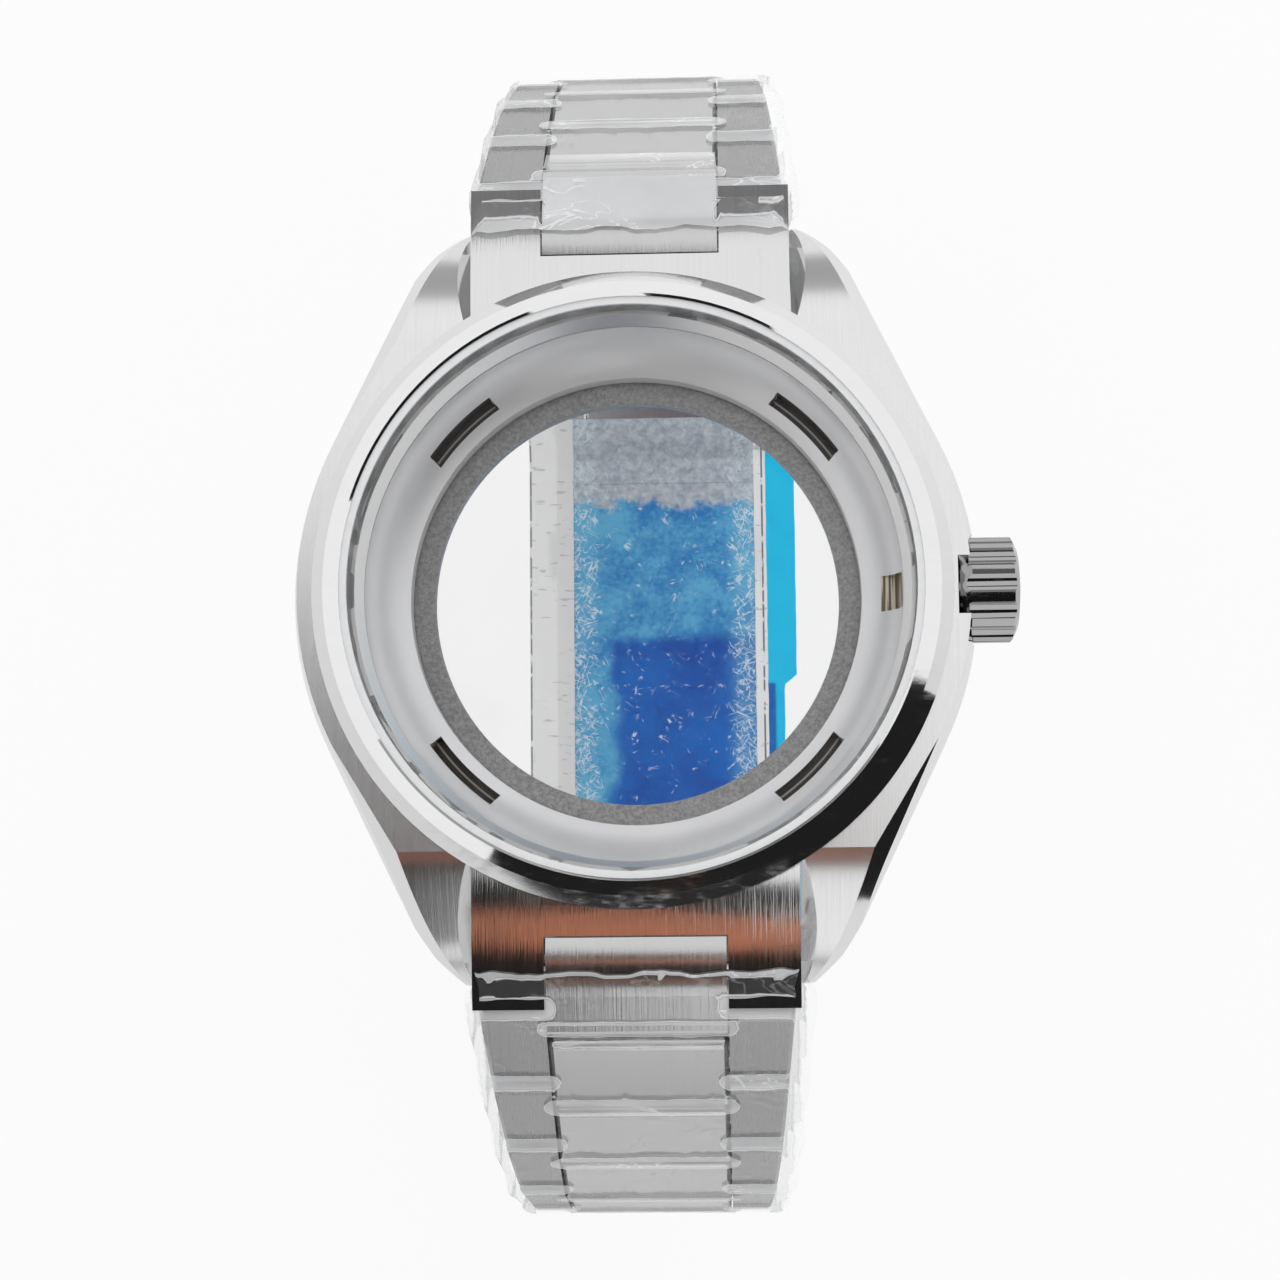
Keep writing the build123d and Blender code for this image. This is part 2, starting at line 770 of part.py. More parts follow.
def make_end_centre(side):
    """The centre piece between the end link's prongs."""
    start, middle, lip = end_top_line(end_recess_y + row_gap, end_point(-side_lip, half))
    edge = sqrt(centre_knuckle_radius ** 2 - half ** 2)
    knuckle_high = end_point(edge, half)
    knuckle_far = end_point(centre_knuckle_radius, 0)
    knuckle_low = end_point(edge, -half)
    inner_length = (hinge_y - end_recess_y) / cos(end_direction)
    bottom = end_point(half - inner_length, -half)
    plane = Plane(origin=(0, 0, 0), x_dir=(0, side, 0), z_dir=(side, 0, 0))
    with BuildPart() as centre:
        with BuildSketch(plane):
            with BuildLine():
                ThreePointArc(start, middle, lip)
                Line(lip, knuckle_high)
                ThreePointArc(knuckle_high, knuckle_far, knuckle_low)
                Polyline(knuckle_low, bottom, (start[0], bottom[1]), start)
            make_face()
        extrude(amount=centre_width / 2, both=True)
        with BuildSketch(plane):
            with Locations((end_centre_pin_y, end_centre_pin_z)):
                Circle(link_pin_radius + pin_seat_gap)
            with Locations(hinges[0]):
                Circle(link_pin_radius + pin_run_gap)
        extrude(amount=centre_width, both=True, mode=Mode.SUBTRACT)
    return centre.part


def make_spring_bars():
    """Two spring bars: a tube with a smaller tip at each end, turned in one piece."""
    bars = []
    body = end_width / 2 - bar_shoulder
    tip = lug_gap / 2 + bar_tip_length - seat_gap
    for side in side_names:
        with BuildPart() as bar:
            with BuildSketch(Plane.YZ):
                with Locations((side * bar_y, bar_z)):
                    Circle(bar_radius)
            extrude(amount=body, both=True)
            with BuildSketch(Plane.YZ):
                with Locations((side * bar_y, bar_z)):
                    Circle(bar_tip_radius)
            extrude(amount=tip, both=True)
        bars.append(bar.part.solid())
    return Compound(children=bars)


for side in side_names:
    save(make_end_link(side), "end_link_" + side_names[side])
    save(make_end_centre(side), "end_centre_" + side_names[side])
save(make_spring_bars(), "lug_spring_bars")


# Clasp: heights above the bracelet's last hinges
upper_blade_top = clasp_z + blade_top
upper_blade_low = upper_blade_top - blade_thickness
lower_blade_top = upper_blade_low - blade_gap
lower_blade_low = lower_blade_top - blade_thickness
shell_top = lower_blade_low - blade_gap
shell_low = shell_top - shell_plate
fold_y = -(clasp_y - fold_inset)
fold_z = (lower_blade_top + lower_blade_low) / 2
turn_y = clasp_y - fold_inset
button_y = clasp_y - button_step
turn_z = (upper_blade_top + lower_blade_low) / 2
notch_end = clasp_y - centre_knuckle_radius - plate_end_gap
ear_inner = centre_width / 2 + clasp_ear_gap
button_z = (upper_blade_top + lower_blade_low) / 2


def side_block(low_y, high_y, low_z, high_z):
    """A rectangle in the side view, between two places."""
    with Locations(((low_y + high_y) / 2, (low_z + high_z) / 2)):
        Rectangle(high_y - low_y, high_z - low_z)


def make_shell():
    half_width = clasp_width / 2
    wall_inner = half_width - shell_wall
    wall_top = shell_low + shell_wall_rise
    shell_end = -(clasp_y - shell_end_inset)
    with BuildPart() as shell:
        with BuildSketch(Plane.YZ):
            side_block(shell_end, notch_end, shell_low, shell_top)
        extrude(amount=half_width, both=True)
        rounded = shell.edges().filter_by(Axis.Y).group_by(Axis.Z)[0]
        fillet(rounded, radius=shell_edge_round)
        # side walls
        for hand in (1, -1):
            with BuildSketch(Plane.YZ.offset(hand * wall_inner)):
                side_block(shell_end, notch_end, shell_top - over / 2, wall_top)
            extrude(amount=hand * shell_wall)
        # arms and ears round the last centre piece
        for hand in (1, -1):
            with BuildSketch(Plane.YZ.offset(hand * ear_inner)):
                side_block(notch_end - over, clasp_y, shell_low + shell_edge_round, clasp_z)
                with Locations((clasp_y, clasp_z)):
                    Circle(ear_radius)
            extrude(amount=hand * (half_width - ear_inner))
        with BuildSketch(Plane.YZ):
            with Locations((clasp_y, clasp_z), (fold_y, fold_z)):
                Circle(clasp_pin_radius + pin_seat_gap)
        extrude(amount=half_width + over, both=True, mode=Mode.SUBTRACT)
        # groove for the lower blade's knuckle
        with BuildSketch(Plane.YZ):
            with Locations((fold_y, fold_z)):
                Circle(fold_knuckle_radius + blade_gap)
        extrude(amount=wall_inner, both=True, mode=Mode.SUBTRACT)
        # push-button windows
        with BuildSketch(Plane.YZ):
            with Locations((button_y, button_z)):
                Rectangle(button_length + 2 * seat_gap, button_height + 2 * seat_gap)
        extrude(amount=half_width + over, both=True, mode=Mode.SUBTRACT)
    pins = []
    for place in ((clasp_y, clasp_z), (fold_y, fold_z)):
        with BuildPart() as pin:
            with BuildSketch(Plane.YZ):
                with Locations(place):
                    Circle(clasp_pin_radius)
            extrude(amount=half_width - pin_inset, both=True)
        pins.append(pin.part.solid())
    return Compound(children=shell.part.solids() + pins)


def make_button_notches():
    """The space that both blades leave for the pressed buttons."""
    with BuildPart() as notches:
        for hand in (1, -1):
            with BuildSketch(Plane.YZ.offset(hand * (blade_width / 2 - button_notch))):
                with Locations((button_y, button_z)):
                    Rectangle(button_length + 2 * notch_gap, 2 * (blade_thickness + over))
            extrude(amount=hand * (button_notch + over))
    return notches.part


button_notches = make_button_notches()


def make_blade_1():
    """Lower blade: hinged to the shell at 6 o'clock and to the upper blade at 12 o'clock."""
    half_width = blade_width / 2
    clear = blade_hinge_radius + blade_gap
    with BuildPart() as blade:
        with BuildSketch(Plane.YZ):
            side_block(fold_y, turn_y - clear, lower_blade_low, lower_blade_top)
            with Locations((fold_y, fold_z)):
                Circle(fold_knuckle_radius)
        extrude(amount=half_width, both=True)
        for hand in (1, -1):
            with BuildSketch(Plane.YZ.offset(hand * (blade_hinge_width / 2 + row_gap))):
                side_block(turn_y - clear - over, turn_y, lower_blade_low, lower_blade_top)
                with Locations((turn_y, turn_z)):
                    Circle(blade_hinge_radius)
            extrude(amount=hand * (half_width - blade_hinge_width / 2 - row_gap))
        with BuildSketch(Plane.YZ):
            with Locations((fold_y, fold_z)):
                Circle(clasp_pin_radius + pin_run_gap)
            with Locations((turn_y, turn_z)):
                Circle(clasp_pin_radius + pin_seat_gap)
        extrude(amount=half_width + over, both=True, mode=Mode.SUBTRACT)
        add(button_notches, mode=Mode.SUBTRACT)
    with BuildPart() as pin:
        with BuildSketch(Plane.YZ):
            with Locations((turn_y, turn_z)):
                Circle(clasp_pin_radius)
        extrude(amount=half_width - pin_inset, both=True)
    return Compound(children=blade.part.solids() + [pin.part.solid()])


def make_blade_2():
    """Upper blade: hinged to the lower one, with a fork for the 6 o'clock bracelet end."""
    half_width = blade_width / 2
    clear = blade_hinge_radius + blade_gap
    with BuildPart() as blade:
        with BuildSketch(Plane.YZ):
            side_block(-notch_end, turn_y - clear, upper_blade_low, upper_blade_top)
        extrude(amount=half_width, both=True)
        with BuildSketch(Plane.YZ):
            side_block(turn_y - clear - over, turn_y, upper_blade_low, upper_blade_top)
            with Locations((turn_y, turn_z)):
                Circle(blade_hinge_radius)
        extrude(amount=blade_hinge_width / 2, both=True)
        for hand in (1, -1):
            with BuildSketch(Plane.YZ.offset(hand * ear_inner)):
                side_block(-clasp_y, -notch_end + over, upper_blade_low, upper_blade_top)
                with Locations((-clasp_y, clasp_z)):
                    Circle(blade_ear_radius)
            extrude(amount=hand * (half_width - ear_inner))
        # pin holes, and a groove over the lower blade's knuckle
        with BuildSketch(Plane.YZ):
            with Locations((turn_y, turn_z)):
                Circle(clasp_pin_radius + pin_run_gap)
            with Locations((-clasp_y, clasp_z)):
                Circle(link_pin_radius + pin_run_gap)
            with Locations((fold_y, fold_z)):
                Circle(fold_knuckle_radius + blade_gap)
        extrude(amount=half_width + over, both=True, mode=Mode.SUBTRACT)
        add(button_notches, mode=Mode.SUBTRACT)
    return blade.part


def make_button(hand):
    inner = blade_width / 2 + seat_gap
    outer = clasp_width / 2 + button_proud
    with BuildPart() as button:
        with BuildSketch(Plane.YZ.offset(hand * inner)):
            with Locations((button_y, button_z)):
                Rectangle(button_length, button_height)
        extrude(amount=hand * (outer - inner))
        rim = button.edges().group_by(Axis((0, 0, 0), (hand, 0, 0)))[-1]
        chamfer(rim, length=link_edge_bevel)
    return button.part


def make_film():
    """Protective film on the upper blade's inner face."""
    low = -notch_end + film_inset
    high = turn_y - blade_hinge_radius - blade_gap - film_inset
    with BuildPart() as film:
        with BuildSketch(Plane.XY.offset(upper_blade_top)):
            with Locations((0, (low + high) / 2)):
                Rectangle(film_width, high - low)
        extrude(amount=film_thickness)
    return film.part


save(make_shell(), "clasp_shell")
save(make_blade_1(), "blade_1")
save(make_blade_2(), "blade_2")
save(make_button(1), "button_3")
save(make_button(-1), "button_9")
save(make_film(), "blade_film")
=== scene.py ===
import bmesh
import bpy
import json
import math
from mathutils import Matrix, Vector, noise
from mathutils.bvhtree import BVHTree
from mathutils.kdtree import KDTree


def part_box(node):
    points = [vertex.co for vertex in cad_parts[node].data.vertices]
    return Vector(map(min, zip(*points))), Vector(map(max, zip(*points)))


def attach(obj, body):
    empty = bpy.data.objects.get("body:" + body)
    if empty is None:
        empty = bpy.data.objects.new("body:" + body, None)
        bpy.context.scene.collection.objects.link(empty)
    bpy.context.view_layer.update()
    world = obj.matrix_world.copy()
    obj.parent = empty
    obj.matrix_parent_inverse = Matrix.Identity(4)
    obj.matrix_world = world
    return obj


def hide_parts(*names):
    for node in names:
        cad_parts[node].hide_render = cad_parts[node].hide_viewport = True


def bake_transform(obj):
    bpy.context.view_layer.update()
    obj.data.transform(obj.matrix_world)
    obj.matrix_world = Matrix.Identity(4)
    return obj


# Looks for a steel watch case on its closed link bracelet, with the thin films it is packed in.
# Metres. +Z points out through the crystal, +Y to 12 o'clock and +X to the crown.

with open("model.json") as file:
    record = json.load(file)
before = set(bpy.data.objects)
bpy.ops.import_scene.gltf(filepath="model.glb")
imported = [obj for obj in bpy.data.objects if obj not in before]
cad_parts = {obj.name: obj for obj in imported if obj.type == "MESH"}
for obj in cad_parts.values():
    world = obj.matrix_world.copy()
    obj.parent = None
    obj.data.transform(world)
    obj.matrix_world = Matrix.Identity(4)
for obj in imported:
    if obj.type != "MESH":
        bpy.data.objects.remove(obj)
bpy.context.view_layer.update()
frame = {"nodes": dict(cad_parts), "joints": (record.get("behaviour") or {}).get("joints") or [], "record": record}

MM = 0.001


def srgb(red, green, blue):
    """A colour given as the eye reads it, 0 to 255, as linear light."""
    return tuple((c / 255) ** 2.2 for c in (red, green, blue)) + (1.0,)


def grey(level):
    """A neutral colour of one linear level."""
    return (level, level, level, 1.0)


# Camera. Its turn is in degrees, its lens and sensor are in millimetres.
camera_place = Vector((6.2, -20.3, 151.5)) * MM
camera_turn = (6.66, 2.32, -0.54)
camera_lens = 67.36
camera_sensor = 36.0

# Studio. The floor lies so low that the opened clasp stays above it.
clasp_swing = 22.5 * MM
floor_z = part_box("clasp_shell")[0].z - clasp_swing
floor_span = 3.0
paper_glow = 0.85
world_fill = 0.78
lamp_span = 0.5
lamp_place = Vector((0.15, 0.55, 0.45))
lamp_power = 1.6
card_radius = 0.35
near_card_radius = 0.15
card_rise_steps = 12
card_turn_steps = 24

# Link units on each side of the bracelet, counted from the case
link_units = range(1, 10)

# Seed of the films' waves: without one, Blender's vector noise differs from run to run
wave_seed = 5

# Clear wrap round the bracelet
film_gap = 0.16 * MM
film_wave = 0.04 * MM
film_lift = 0.5 * MM
film_bulge = 0.1 * MM
film_rounding = 0.9 * MM
film_cell = 0.3 * MM
long_edge = 0.45 * MM
long_edge_cuts = 2
wrap_wave_pace = 0.55
corner_steps = 3
crosswise_length = 8 * MM
link_half_thickness = 1.5 * MM
sharp_angle = math.radians(25)
edge_step = 0.2 * MM
rim_full = 0.3 * MM
rim_end = 1.0 * MM
open_rag = 0.13 * MM
rag_paces = (0.4, 1.3)
open_reach = 1.6 * MM
open_roll = 0.25 * MM
clear_fold = 0.8
loose_share = 0.27
loose_lift = 0.75
end_slope = math.radians(20)
stations_before = (0.4, 0.75)
stations_after = (0.3, 0.6, 1.0)
wrap_lead = {"12": 3.4 * MM, "6": 2.7 * MM}
wrap_out = {"12": (0.2 * MM, 0.75 * MM), "6": (0.6 * MM, 0.95 * MM)}
wrap_out_between_lugs = 0.02 * MM

# Films on the clasp. Places across and along it and rises above the blade are in millimetres,
# and the climb over the clasp's end is in metres.
blue_left = -6.55
blue_right = 7.95
margin_left = -10.1
fold_right = 8.9
cyan_right = 11.2
cyan_narrow = 10.2
cyan_step = -1.35
cyan_ease = 0.4
strip_low = -20.5
blade_end = 14.7
cover_high = 19.9
climb_start = 16.6
climb_end = 18.2
clasp_climb = 0.72 * MM
silver_from = 13.0
clings_below = 2.2
clings_right_of = -4.2
blue_middle = 0.7
border_from = 5.4
doubled_low = -8.2
doubled_high = -1.6
doubled_right = 9.5
strip_cell = 0.4
strip_wave_pace = 0.7
cyan_rise = 0.04
fold_rise = 0.06
margin_rise = 0.08
line_inset = 0.1
fold_line_inset = 0.3

# Slots and stem window of the holder, in millimetres
slot_radius = 15.5
slot_half_width = 0.42
slot_half_length = 3.78
window_middle = 2.5
window_half_width = 1.12

# Case and back, in millimetres: the case's inner wall, the lug tips' height, the bore of the
# back's window and the height of the flange inside the back
inner_radius = 17.6
lug_tip_height = -2.0
window_radius = 13.04
flange_height = -1.1

# Gloss of the coated glasses: its level, and the share of it seen straight on
coated_gloss = 0.4
straight_gloss = 0.012


# Shader helpers
class Signal:
    """A value on its way through a node tree. Sums and products of signals add Math nodes."""

    def __init__(self, finish, socket):
        self.finish = finish
        self.socket = socket

    def math(self, operation, first, second=0.0):
        """The result of one Math node."""
        return self.finish.node("ShaderNodeMath", {"operation": operation}, {0: first, 1: second})

    def __add__(self, other):
        return self.math("ADD", self, other)

    def __sub__(self, other):
        return self.math("SUBTRACT", self, other)

    def __rsub__(self, other):
        return self.math("SUBTRACT", other, self)

    def __mul__(self, other):
        return self.math("MULTIPLY", self, other)

    def power(self, exponent):
        return self.math("POWER", self, exponent)

    def size(self):
        return self.math("ABSOLUTE", self)

    def larger(self, other):
        return self.math("MAXIMUM", self, other)

    def past(self, level, softness):
        """0 below the level, 1 above it, with a soft step of that width."""
        sockets = {"Value": self, "From Min": level - softness / 2, "From Max": level + softness / 2}
        return self.finish.node("ShaderNodeMapRange", {"interpolation_type": "SMOOTHSTEP"}, sockets)

    def spread(self, low, high):
        """The signal's 0 to 1 laid out between two levels."""
        return self * (high - low) + low


class Finish:
    """A node tree that is being written: a material's, or the world's."""

    def __init__(self, tree):
        self.tree = tree
        self.tree.nodes.clear()

    def put(self, value, socket):
        """Links a signal to a socket, or sets the socket to a constant."""
        if isinstance(value, Signal):
            self.tree.links.new(value.socket, socket)
        else:
            socket.default_value = value

    def node(self, kind, settings=None, sockets=None, out=0):
        """Adds a node: its settings first, then its sockets. Gives back one of its outputs."""
        made = self.tree.nodes.new(kind)
        for name, value in (settings or {}).items():
            setattr(made, name, value)
        for name, value in (sockets or {}).items():
            self.put(value, made.inputs[name])
        return Signal(self, made.outputs[out]) if made.outputs else None

    def place(self, scale=(1, 1, 1), turn=(0, 0, 0), shift=(0, 0, 0)):
        """Object coordinates in millimetres, scaled along each axis."""
        coordinates = self.node("ShaderNodeTexCoord", out="Object")
        scaled = {"Vector": coordinates, "Location": shift, "Rotation": turn,
                  "Scale": [s / MM for s in scale]}
        return self.node("ShaderNodeMapping", {}, scaled)

    def stretch(self, vector, scale):
        """Coordinates that have been turned, scaled along their own axes."""
        return self.node("ShaderNodeMapping", {}, {"Vector": vector, "Scale": scale})

    def axis(self, number):
        """One Object coordinate in millimetres: 0 is X, 1 is Y and 2 is Z."""
        return self.node("ShaderNodeSeparateXYZ", {}, {0: self.place()}, out=number)

    def radius(self):
        """Distance from the case axis in millimetres."""
        flat = self.place(scale=(1, 1, 0))
        return self.node("ShaderNodeVectorMath", {"operation": "LENGTH"}, {0: flat}, out="Value")

    def noise(self, scale, detail=2.0, roughness=0.5, vector=None, distortion=0.0):
        """Uneven noise from 0 to 1, about 0.5."""
        sockets = {"Vector": vector or self.place(), "Scale": scale, "Detail": detail,
                   "Roughness": roughness, "Distortion": distortion}
        return self.node("ShaderNodeTexNoise", {}, sockets)

    def cells(self, scale, vector, randomness):
        """Distance to the nearest of many scattered points."""
        sockets = {"Vector": vector, "Scale": scale, "Randomness": randomness}
        return self.node("ShaderNodeTexVoronoi", {}, sockets)

    def mix(self, share, first, second):
        """A colour between two colours."""
        return self.node("ShaderNodeMix", {"data_type": "RGBA"}, {0: share, 6: first, 7: second}, out=2)

    def bump(self, height, strength, distance):
        """Normals tilted by a height."""
        sockets = {"Height": height, "Strength": strength, "Distance": distance}
        return self.node("ShaderNodeBump", {}, sockets)


def new_finish(name):
    """A new material and its empty node tree."""
    material = bpy.data.materials.new(name)
    material.use_nodes = True
    return material, Finish(material.node_tree)


def close_material(finish, shader):
    """Links the last shader to the material's output."""
    finish.node("ShaderNodeOutputMaterial", {}, {"Surface": shader})


def surface(finish, sockets):
    """The Principled shader, which the metal, the rubber and the films use."""
    return finish.node("ShaderNodeBsdfPrincipled", {}, sockets)


# Finishes of the metal
def brushed_steel(name, tint, roughness, grain=(9, 0.12, 0.12), depth=0.05):
    """Steel with a fine straight grain; the grain runs where its scale is small."""
    material, finish = new_finish(name)
    lines = finish.noise(1.0, 3.0, 0.6, finish.place(scale=grain))
    broad = finish.noise(0.35, 2.0)
    colour = finish.mix(lines, grey(tint * 0.93), grey(tint * 1.03))
    shade = (lines - 0.5) * 0.12 + (broad - 0.5) * 0.08 + roughness
    close_material(finish, surface(finish, {
        "Base Color": colour, "Metallic": 1.0, "Roughness": shade,
        "Normal": finish.bump(lines, 0.16, depth * MM)}))
    return material


def polished_steel(name, tint, roughness=0.06):
    """Mirror steel with faint wipe marks."""
    material, finish = new_finish(name)
    wipes = finish.noise(0.5, 4.0, 0.6, finish.place(scale=(1, 3, 1), turn=(0.4, 0.2, 0.7)))
    specks = finish.noise(9.0, 2.0)
    shade = wipes.past(0.62, 0.3) * 0.08 + (specks - 0.5) * 0.03 + roughness
    colour = finish.mix(wipes, grey(tint), grey(tint * 0.95))
    close_material(finish, surface(finish, {
        "Base Color": colour, "Metallic": 1.0, "Roughness": shade,
        "Normal": finish.bump(specks, 0.03, 0.01 * MM)}))
    return material


def case_finish():
    """Brushed lug tops, and polished bevels, flanks and inside walls."""
    material, finish = new_finish("case_steel")
    grain = finish.noise(1.0, 3.0, 0.6, finish.place(scale=(11, 0.15, 0.15)))
    specks = finish.noise(7.0, 2.0)
    normal = finish.node("ShaderNodeNewGeometry", out="Normal")
    across = finish.node("ShaderNodeSeparateXYZ", {}, {0: normal}, out=0)
    flat = 1.0 - across.size().past(0.25, 0.1)
    height = finish.axis(2)
    outside = finish.radius().past(inner_radius, 0.2)
    top = outside * height.past(lug_tip_height, 0.4)
    brushed = flat * top
    colour = finish.mix(brushed * grain, grey(0.83), grey(0.76))
    inner = 1.0 - outside
    shade = brushed * ((grain - 0.5) * 0.1 + 0.14) + inner * 0.25 + (specks - 0.5) * 0.03 + 0.07
    close_material(finish, surface(finish, {
        "Base Color": colour, "Metallic": 1.0, "Roughness": shade,
        "Normal": finish.bump(grain * brushed, 0.1, 0.03 * MM)}))
    return material


def back_finish():
    """Screw-in back: sand-blasted flange inside, turned and polished outside."""
    material, finish = new_finish("back_steel")
    sand = finish.noise(5.0, 3.0, 0.7).past(0.5, 0.4)
    cloud = finish.noise(1.2, 3.0)
    bore = 1.0 - finish.radius().past(window_radius, 0.04)
    inside = finish.axis(2).past(flange_height, 0.1).larger(bore)
    rings = finish.noise(1.0, 2.0, 0.5, finish.place(scale=(3, 3, 0.2)))
    blasted = finish.mix(sand * 0.7 + cloud * 0.3, grey(0.26), grey(0.62))
    turned = finish.mix(rings, grey(0.70), grey(0.80))
    colour = finish.mix(inside, turned, blasted)
    shade = inside * (sand * 0.15 + 0.42) + (rings - 0.5) * 0.05 + 0.12
    close_material(finish, surface(finish, {
        "Base Color": colour, "Metallic": 1.0, "Roughness": shade,
        "Normal": finish.bump(sand * inside, 0.5, 0.03 * MM)}))
    return material


def satin_holder(name):
    """Pale satin ring round the movement's place, with painted shade in its clamp slots, a painted highlight line
    along each slot, and banded gold in its stem window.
    """
    material, finish = new_finish(name)
    cloud = finish.noise(0.25, 3.0)
    fine = finish.noise(14.0, 2.0)
    radius = finish.radius()
    across = finish.axis(0)
    along = finish.axis(1)
    # The clamp slots: painted shade where the deep narrow pockets lie.
    slot_side = 1.0 - (radius - slot_radius).size().past(slot_half_width, 0.04)
    slot_end = 1.0 - (across.size() - along.size()).size().past(slot_half_length, 0.06)
    painted_slot_shade = slot_side * slot_end
    # A thin pale line inside each slot: a painted highlight.
    painted_slot_highlight = 1.0 - (radius - slot_radius - 0.08).size().past(0.06, 0.08)
    window_side = 1.0 - along.size().past(window_half_width, 0.04)
    window_height = 1.0 - (finish.axis(2) - window_middle).size().past(window_half_width, 0.04)
    window = window_side * window_height * across.past(0.0, 0.1)
    bands = finish.noise(1.0, 2.0, 0.5, finish.place(scale=(4.5, 0.1, 0.1)))
    colour = finish.mix(cloud, srgb(226, 227, 229), srgb(240, 240, 241))
    # Slot colour: painted shade, with the painted highlight line through it.
    colour = finish.mix(painted_slot_shade, colour, finish.mix(painted_slot_highlight, srgb(78, 74, 70), srgb(184, 182, 178)))
    gold = finish.mix(bands.past(0.52, 0.1), srgb(116, 104, 84), srgb(228, 220, 202))
    colour = finish.mix(window, colour, gold)
    close_material(finish, surface(finish, {
        "Base Color": colour, "Metallic": 0.55, "Roughness": (fine - 0.5) * 0.08 + 0.42,
        "Normal": finish.bump(fine, 0.08, 0.01 * MM)}))
    return material


def soft_ring(name, pale, dark, roughness):
    """Plastic or rubber of the gaskets."""
    material, finish = new_finish(name)
    cloud = finish.noise(1.5, 3.0)
    fine = finish.noise(12.0, 2.0)
    close_material(finish, surface(finish, {
        "Base Color": finish.mix(cloud, pale, dark), "Roughness": (fine - 0.5) * 0.1 + roughness,
        "Normal": finish.bump(fine, 0.1, 0.02 * MM)}))
    return material


def clear_glass(name, tint):
    """Flat glass: clear straight through, with the gloss of its faces and a few dust specks."""
    material, finish = new_finish(name)
    smear = finish.noise(0.3, 4.0, 0.6)
    through = finish.node("ShaderNodeBsdfTransparent", {}, {"Color": tint})
    gloss = finish.node("ShaderNodeBsdfGlossy", {}, {
        "Color": grey(coated_gloss), "Roughness": 0.03})
    slant = finish.node("ShaderNodeLayerWeight", {}, {"Blend": 0.5}, out="Facing")
    glossy = slant.power(5.0) * 0.9 + smear.past(0.6, 0.3) * 0.006 + straight_gloss
    close_material(finish, finish.node("ShaderNodeMixShader", {}, {0: glossy, 1: through, 2: gloss}))
    return material


# Finishes of the films
def thin_lines(source, width):
    """Fine lines where a noise passes its middle."""
    return 1.0 - (source - 0.5).size().past(width, width)


def clear_film(name):
    """Clear wrap: nearly unseen where it clings to the metal, white where it stands off, partly its own milkiness
    and partly painted sheen, with a painted bright line between the two and painted glints along its creases."""
    material, finish = new_finish(name)
    lift = finish.node("ShaderNodeAttribute", {"attribute_name": "lift"}, out="Fac")
    crinkle = finish.noise(0.5, 4.0, 0.6, distortion=0.6)
    broad = finish.noise(0.16, 2.0)
    creases = finish.noise(0.32, 3.0, 0.55, finish.place(scale=(0.5, 1, 1), turn=(0, 0, 0.5)), 1.4)
    level = lift + (crinkle - 0.5) * 0.45
    stand_off = level.past(0.5, 0.3)
    # A bright line where the film goes from clinging to standing off: a painted highlight.
    border = 1.0 - (level - 0.45).size().past(0.07, 0.1)
    # Thin white lines along the creases: painted glints.
    painted_glints = thin_lines(creases, 0.012) * broad.past(0.5, 0.1) * (stand_off * 0.6 + 0.12)
    # White haze where the film stands off: partly the film's own milkiness, partly painted sheen.
    milk_and_sheen = stand_off * 0.46 + (broad - 0.5) * stand_off * 0.5
    close_material(finish, surface(finish, {
        "Base Color": srgb(246, 247, 249), "Roughness": crinkle * 0.15 + 0.15,
        "Alpha": milk_and_sheen.larger(border * 0.6).larger(painted_glints).larger(0.03),
        "Normal": finish.bump(crinkle + creases * 0.5, 0.2, 0.2 * MM)}))
    return material


def blue_film(name):
    """Blue film over the inner blade: bare silver at one end, scratched borders and a darker
    patch where it clings to the metal."""
    material, finish = new_finish(name)
    across = finish.axis(0)
    along = finish.axis(1)
    rag = (finish.noise(0.55, 4.0, 0.65) - 0.5) * 5.0
    cloud = finish.noise(0.22, 3.0, 0.6)
    fine = finish.noise(3.0, 3.0, 0.7)
    silver = (along + rag).past(silver_from, 1.0)
    swell = (finish.noise(0.13, 1.0) - 0.5) * 7.0
    low = 1.0 - (along + rag * 0.25).past(clings_below, 1.0)
    clings = low * (across + rag * 0.25 + swell).past(clings_right_of, 1.2)
    mottle = (cloud * 0.6 + fine * 0.4).past(0.5, 0.3)
    pale = finish.mix(mottle, srgb(34, 124, 200), srgb(98, 184, 228))
    deep = finish.mix(mottle, srgb(2, 74, 170), srgb(16, 106, 202))
    crinkle = finish.noise(1.5, 4.0, 0.7, distortion=0.3)
    bare = finish.mix(crinkle.past(0.5, 0.5), srgb(160, 172, 188), srgb(220, 228, 236))
    colour = finish.mix(clings, pale, deep)
    dots = 1.0 - finish.cells(1.1, finish.place(turn=(0, 0, 0.3)), 0.35).past(0.11, 0.06)
    colour = finish.mix(dots * 0.3, colour, srgb(80, 150, 220))
    border = (across - blue_middle).size().past(border_from, 1.6)
    frost = 0.0
    for angle, width in ((0.5, 0.02), (-0.45, 0.02), (1.2, 0.016), (-1.1, 0.016)):
        lines = finish.stretch(finish.place(turn=(0, 0, angle)), (2.4, 0.5, 1))
        scratch = finish.noise(1.0, 1.0, 0.5, lines, 0.25)
        gate = finish.noise(0.8, 2.0, 0.5, finish.place(shift=(angle * 9, 0, 0)))
        marks = thin_lines(scratch, width) * (gate + border * 0.18).past(0.66, 0.1)
        frost = marks.larger(frost)
    colour = finish.mix(border * 0.35, colour, srgb(120, 200, 235))
    colour = finish.mix(silver, colour, bare)
    colour = finish.mix(frost * 0.85, colour, srgb(222, 238, 248))
    close_material(finish, surface(finish, {
        "Base Color": colour, "Roughness": fine * 0.2 + 0.3, "Metallic": silver * 0.35,
        "Specular IOR Level": 0.2,
        "Normal": finish.bump(fine + frost, 0.25, 0.05 * MM)}))
    return material


